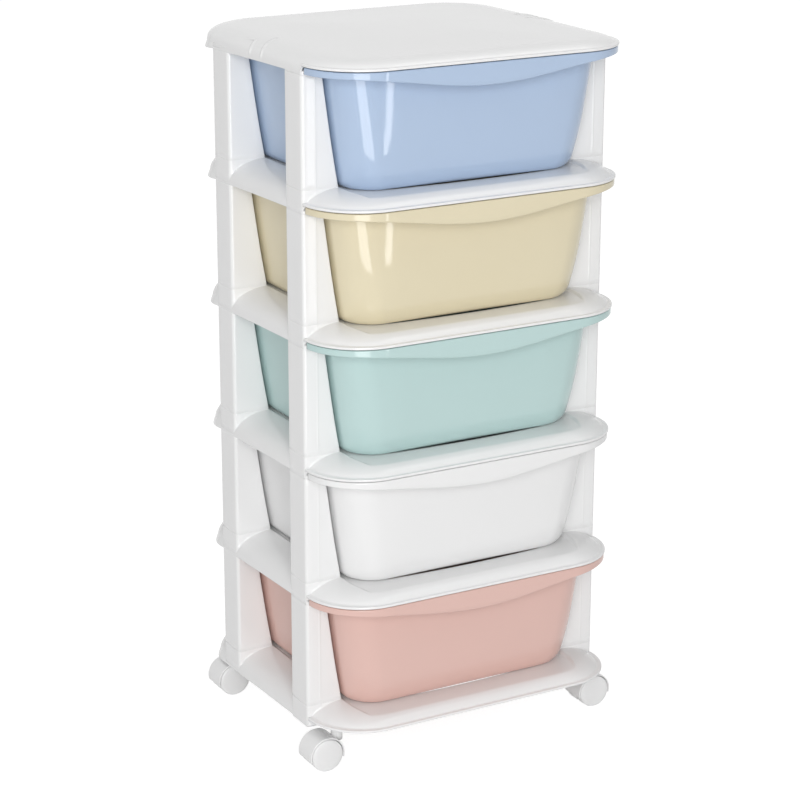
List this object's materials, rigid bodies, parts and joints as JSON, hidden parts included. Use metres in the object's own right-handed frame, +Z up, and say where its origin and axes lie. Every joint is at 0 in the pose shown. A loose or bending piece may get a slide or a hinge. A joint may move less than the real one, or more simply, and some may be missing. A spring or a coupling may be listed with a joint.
{
  "type": "plastic drawer tower",
  "caption": "Tall rolling tower of stacked plastic drawers in pastel colours, in a white frame of domed shelves and hollow corner posts on twin-wheel casters.",
  "frame": {"origin": "middle of the footprint, on the floor under the wheels", "axes": "+Z up, -Y to the front, where the drawers pull out, +X to the right seen from the front"},
  "size_m": [0.421, 0.372, 0.8455],
  "materials": {
    "frame_white": "smooth white moulded plastic with a soft gloss",
    "drawer_pink": "pink moulded plastic, glossy outside",
    "drawer_white": "white moulded plastic, glossy outside",
    "drawer_teal": "teal moulded plastic, glossy outside",
    "drawer_yellow": "yellow moulded plastic, glossy outside",
    "drawer_blue": "blue moulded plastic, glossy outside",
    "caster_hood": "white moulded plastic",
    "caster_wheel": "white moulded plastic, slightly duller than the hood",
    "steel_pin": "bright drawn steel"
  },
  "bodies": {
    "tower": {"base_frame": "frame_white", "top_panel": "frame_white", "shelf_frame_1": "frame_white", "shelf_frame_2": "frame_white", "shelf_frame_3": "frame_white", "shelf_frame_4": "frame_white", "post_1_front_left": "frame_white", "post_1_front_right": "frame_white", "post_1_rear_left": "frame_white", "post_1_rear_right": "frame_white", "post_2_front_left": "frame_white", "post_2_front_right": "frame_white", "post_2_rear_left": "frame_white", "post_2_rear_right": "frame_white", "post_3_front_left": "frame_white", "post_3_front_right": "frame_white", "post_3_rear_left": "frame_white", "post_3_rear_right": "frame_white", "post_4_front_left": "frame_white", "post_4_front_right": "frame_white", "post_4_rear_left": "frame_white", "post_4_rear_right": "frame_white", "post_5_front_left": "frame_white", "post_5_front_right": "frame_white", "post_5_rear_left": "frame_white", "post_5_rear_right": "frame_white", "caster_stem_front_left": "steel_pin", "caster_stem_front_right": "steel_pin", "caster_stem_rear_left": "steel_pin", "caster_stem_rear_right": "steel_pin"},
    "drawer_pink_body": {"drawer_pink": "drawer_pink"},
    "drawer_white_body": {"drawer_white": "drawer_white"},
    "drawer_teal_body": {"drawer_teal": "drawer_teal"},
    "drawer_yellow_body": {"drawer_yellow": "drawer_yellow"},
    "drawer_blue_body": {"drawer_blue": "drawer_blue"},
    "caster_front_left": {"caster_hood_front_left": "caster_hood", "caster_axle_front_left": "steel_pin"},
    "wheel_front_front_left": {"caster_wheel_front_front_left": "caster_wheel"},
    "wheel_rear_front_left": {"caster_wheel_rear_front_left": "caster_wheel"},
    "caster_front_right": {"caster_hood_front_right": "caster_hood", "caster_axle_front_right": "steel_pin"},
    "wheel_front_front_right": {"caster_wheel_front_front_right": "caster_wheel"},
    "wheel_rear_front_right": {"caster_wheel_rear_front_right": "caster_wheel"},
    "caster_rear_left": {"caster_hood_rear_left": "caster_hood", "caster_axle_rear_left": "steel_pin"},
    "wheel_front_rear_left": {"caster_wheel_front_rear_left": "caster_wheel"},
    "wheel_rear_rear_left": {"caster_wheel_rear_rear_left": "caster_wheel"},
    "caster_rear_right": {"caster_hood_rear_right": "caster_hood", "caster_axle_rear_right": "steel_pin"},
    "wheel_front_rear_right": {"caster_wheel_front_rear_right": "caster_wheel"},
    "wheel_rear_rear_right": {"caster_wheel_rear_rear_right": "caster_wheel"}
  },
  "joints": [
    {"name": "drawer_pink_slide", "type": "slide", "parent": "tower", "child": "drawer_pink_body", "axis": [0, -1, 0], "range_m": [0, 0.22]},
    {"name": "drawer_white_slide", "type": "slide", "parent": "tower", "child": "drawer_white_body", "axis": [0, -1, 0], "range_m": [0, 0.22]},
    {"name": "drawer_teal_slide", "type": "slide", "parent": "tower", "child": "drawer_teal_body", "axis": [0, -1, 0], "range_m": [0, 0.22]},
    {"name": "drawer_yellow_slide", "type": "slide", "parent": "tower", "child": "drawer_yellow_body", "axis": [0, -1, 0], "range_m": [0, 0.22]},
    {"name": "drawer_blue_slide", "type": "slide", "parent": "tower", "child": "drawer_blue_body", "axis": [0, -1, 0], "range_m": [0, 0.22]},
    {"name": "caster_front_left_swivel", "type": "hinge", "parent": "tower", "child": "caster_front_left", "pos_m": [-0.168, -0.125, 0.04], "axis": [0, 0, 1], "continuous": true},
    {"name": "wheel_front_front_left_spin", "type": "hinge", "parent": "caster_front_left", "child": "wheel_front_front_left", "pos_m": [-0.188, -0.125, 0.02], "axis": [0, 1, 0], "continuous": true},
    {"name": "wheel_rear_front_left_spin", "type": "hinge", "parent": "caster_front_left", "child": "wheel_rear_front_left", "pos_m": [-0.188, -0.125, 0.02], "axis": [0, 1, 0], "continuous": true},
    {"name": "caster_front_right_swivel", "type": "hinge", "parent": "tower", "child": "caster_front_right", "pos_m": [0.168, -0.125, 0.04], "axis": [0, 0, 1], "continuous": true},
    {"name": "wheel_front_front_right_spin", "type": "hinge", "parent": "caster_front_right", "child": "wheel_front_front_right", "pos_m": [0.188, -0.125, 0.02], "axis": [0, 1, 0], "continuous": true},
    {"name": "wheel_rear_front_right_spin", "type": "hinge", "parent": "caster_front_right", "child": "wheel_rear_front_right", "pos_m": [0.188, -0.125, 0.02], "axis": [0, 1, 0], "continuous": true},
    {"name": "caster_rear_left_swivel", "type": "hinge", "parent": "tower", "child": "caster_rear_left", "pos_m": [-0.168, 0.125, 0.04], "axis": [0, 0, 1], "continuous": true},
    {"name": "wheel_front_rear_left_spin", "type": "hinge", "parent": "caster_rear_left", "child": "wheel_front_rear_left", "pos_m": [-0.188, 0.125, 0.02], "axis": [0, 1, 0], "continuous": true},
    {"name": "wheel_rear_rear_left_spin", "type": "hinge", "parent": "caster_rear_left", "child": "wheel_rear_rear_left", "pos_m": [-0.188, 0.125, 0.02], "axis": [0, 1, 0], "continuous": true},
    {"name": "caster_rear_right_swivel", "type": "hinge", "parent": "tower", "child": "caster_rear_right", "pos_m": [0.168, 0.125, 0.04], "axis": [0, 0, 1], "continuous": true},
    {"name": "wheel_front_rear_right_spin", "type": "hinge", "parent": "caster_rear_right", "child": "wheel_front_rear_right", "pos_m": [0.188, 0.125, 0.02], "axis": [0, 1, 0], "continuous": true},
    {"name": "wheel_rear_rear_right_spin", "type": "hinge", "parent": "caster_rear_right", "child": "wheel_rear_rear_right", "pos_m": [0.188, 0.125, 0.02], "axis": [0, 1, 0], "continuous": true}
  ]
}
